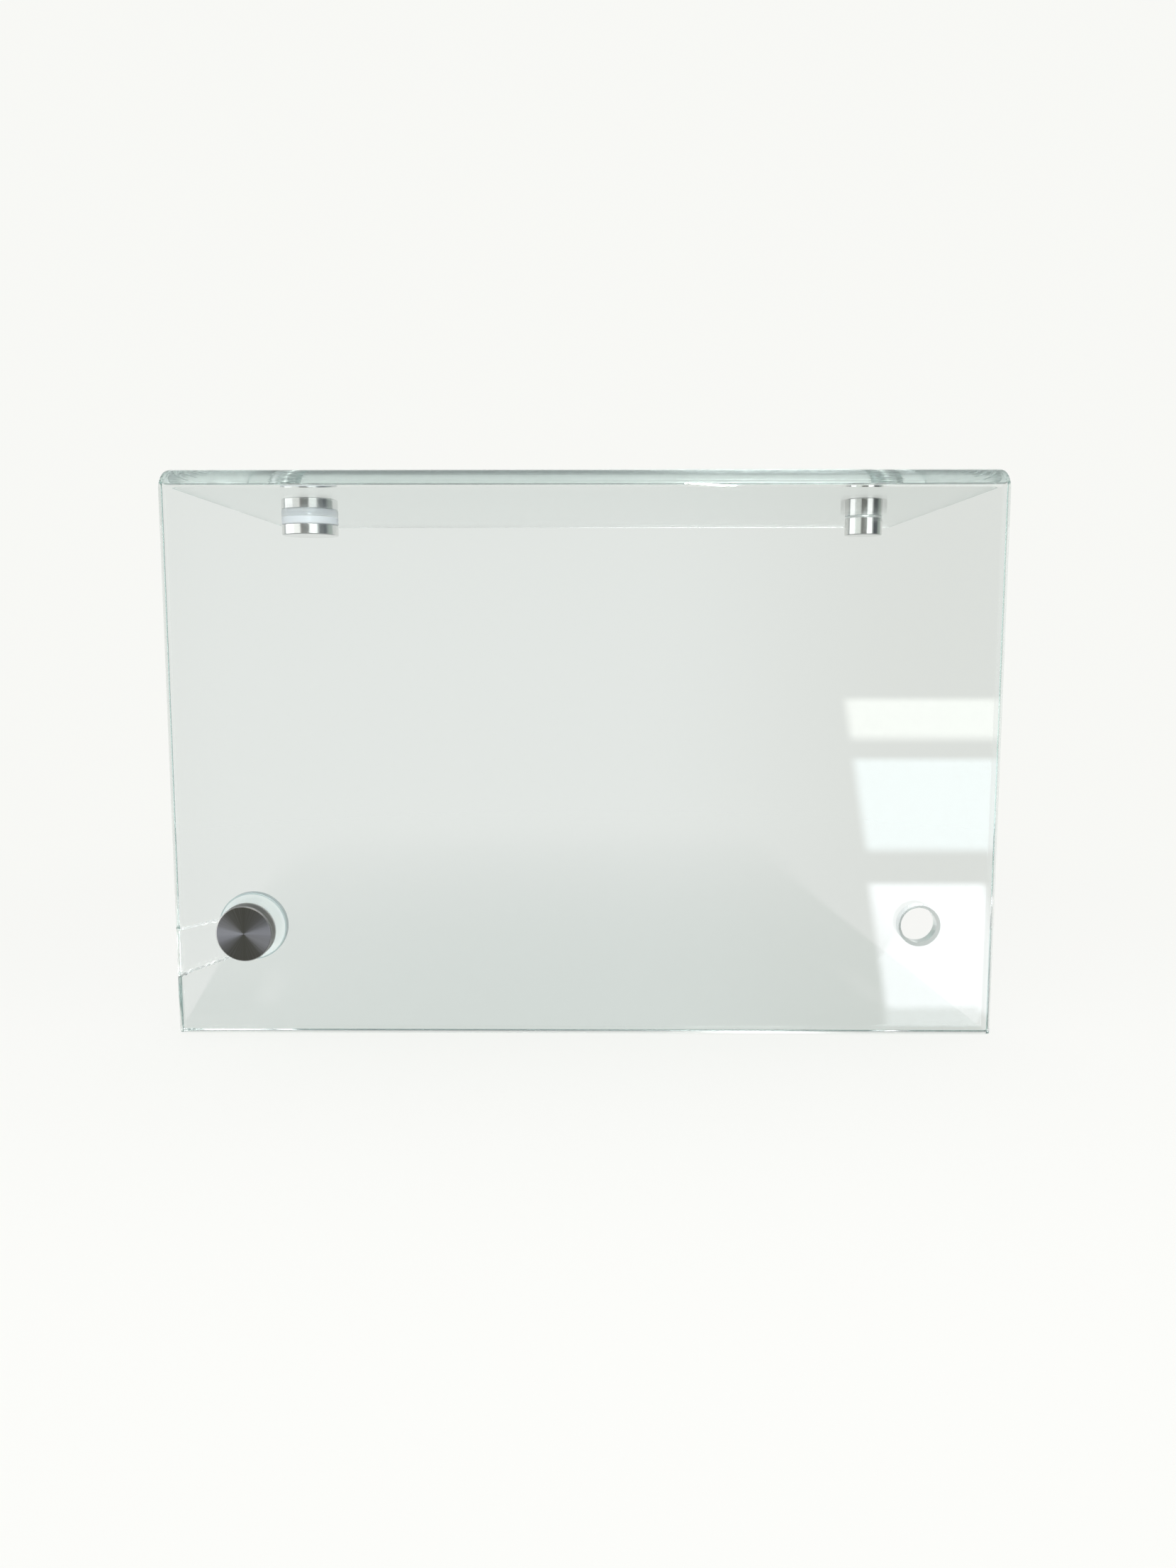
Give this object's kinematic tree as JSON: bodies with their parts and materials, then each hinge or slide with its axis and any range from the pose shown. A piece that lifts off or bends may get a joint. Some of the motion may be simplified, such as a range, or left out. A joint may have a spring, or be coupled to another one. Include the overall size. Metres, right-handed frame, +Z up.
{
  "type": "bent glass cover panel with standoff fixings",
  "caption": "Clear glass sheet bent to an inverted L, held off a ledge by round steel standoff fixings with screw-on caps; one corner hole left empty and one edge cracked.",
  "frame": {"origin": "middle of the ledge's top front edge: the front fixing bears on the plane y = 0 and the top fixings bear on the plane z = 0", "axes": "+X to the viewer's right along the bend, +Y back into the ledge, +Z up"},
  "size_m": [0.3, 0.1832, 0.2122],
  "materials": {
    "clear_glass": "clear float glass, green at its polished edges",
    "spun_steel": "spun face with a polished rim",
    "polished_steel": "polished",
    "stud_steel": "threaded rod",
    "white_nylon": "translucent white",
    "clear_vinyl": "clear soft plastic"
  },
  "bodies": {
    "panel": {"bent_glass_panel": "clear_glass", "broken_edge_shard": "clear_glass", "front_left_sleeve": "clear_vinyl", "front_left_stud": "stud_steel", "front_left_washer": "white_nylon", "front_left_barrel": "polished_steel", "top_left_sleeve": "clear_vinyl", "top_left_stud": "stud_steel", "top_left_washer": "white_nylon", "top_left_base_disc": "polished_steel", "top_right_sleeve": "clear_vinyl", "top_right_stud": "stud_steel", "top_right_film_washer": "clear_vinyl", "top_right_barrel": "polished_steel"},
    "front_left_seat": {"front_left_gasket": "clear_vinyl"},
    "front_left_cap": {"front_left_cap": "spun_steel"},
    "top_left_seat": {"top_left_gasket": "clear_vinyl"},
    "top_left_cap": {"top_left_cap": "spun_steel"},
    "top_right_seat": {"top_right_gasket": "clear_vinyl"},
    "top_right_cap": {"top_right_cap": "spun_steel"}
  },
  "joints": [
    {"name": "front_left_travel", "type": "slide", "parent": "panel", "child": "front_left_seat", "axis": [0, -1, 0], "range_m": [0, 0.004]},
    {"name": "front_left_turn", "type": "hinge", "parent": "front_left_seat", "child": "front_left_cap", "pos_m": [-0.1225, -0.0146, -0.1509], "axis": [0, -1, 0], "range_deg": [0, 1440]},
    {"name": "top_left_travel", "type": "slide", "parent": "panel", "child": "top_left_seat", "axis": [0, 0, 1], "range_m": [0, 0.004]},
    {"name": "top_left_turn", "type": "hinge", "parent": "top_left_seat", "child": "top_left_cap", "pos_m": [-0.1249, 0.1089, 0.0146], "axis": [0, 0, 1], "range_deg": [0, 1440]},
    {"name": "top_right_travel", "type": "slide", "parent": "panel", "child": "top_right_seat", "axis": [0, 0, 1], "range_m": [0, 0.004]},
    {"name": "top_right_turn", "type": "hinge", "parent": "top_right_seat", "child": "top_right_cap", "pos_m": [0.1249, 0.1089, 0.0146], "axis": [0, 0, 1], "range_deg": [0, 1440]}
  ],
  "couplings": [
    {"joint": "front_left_travel", "follows": "front_left_turn", "m_per_rad": 0.00015915},
    {"joint": "top_left_travel", "follows": "top_left_turn", "m_per_rad": 0.00015915},
    {"joint": "top_right_travel", "follows": "top_right_turn", "m_per_rad": 0.00015915}
  ]
}
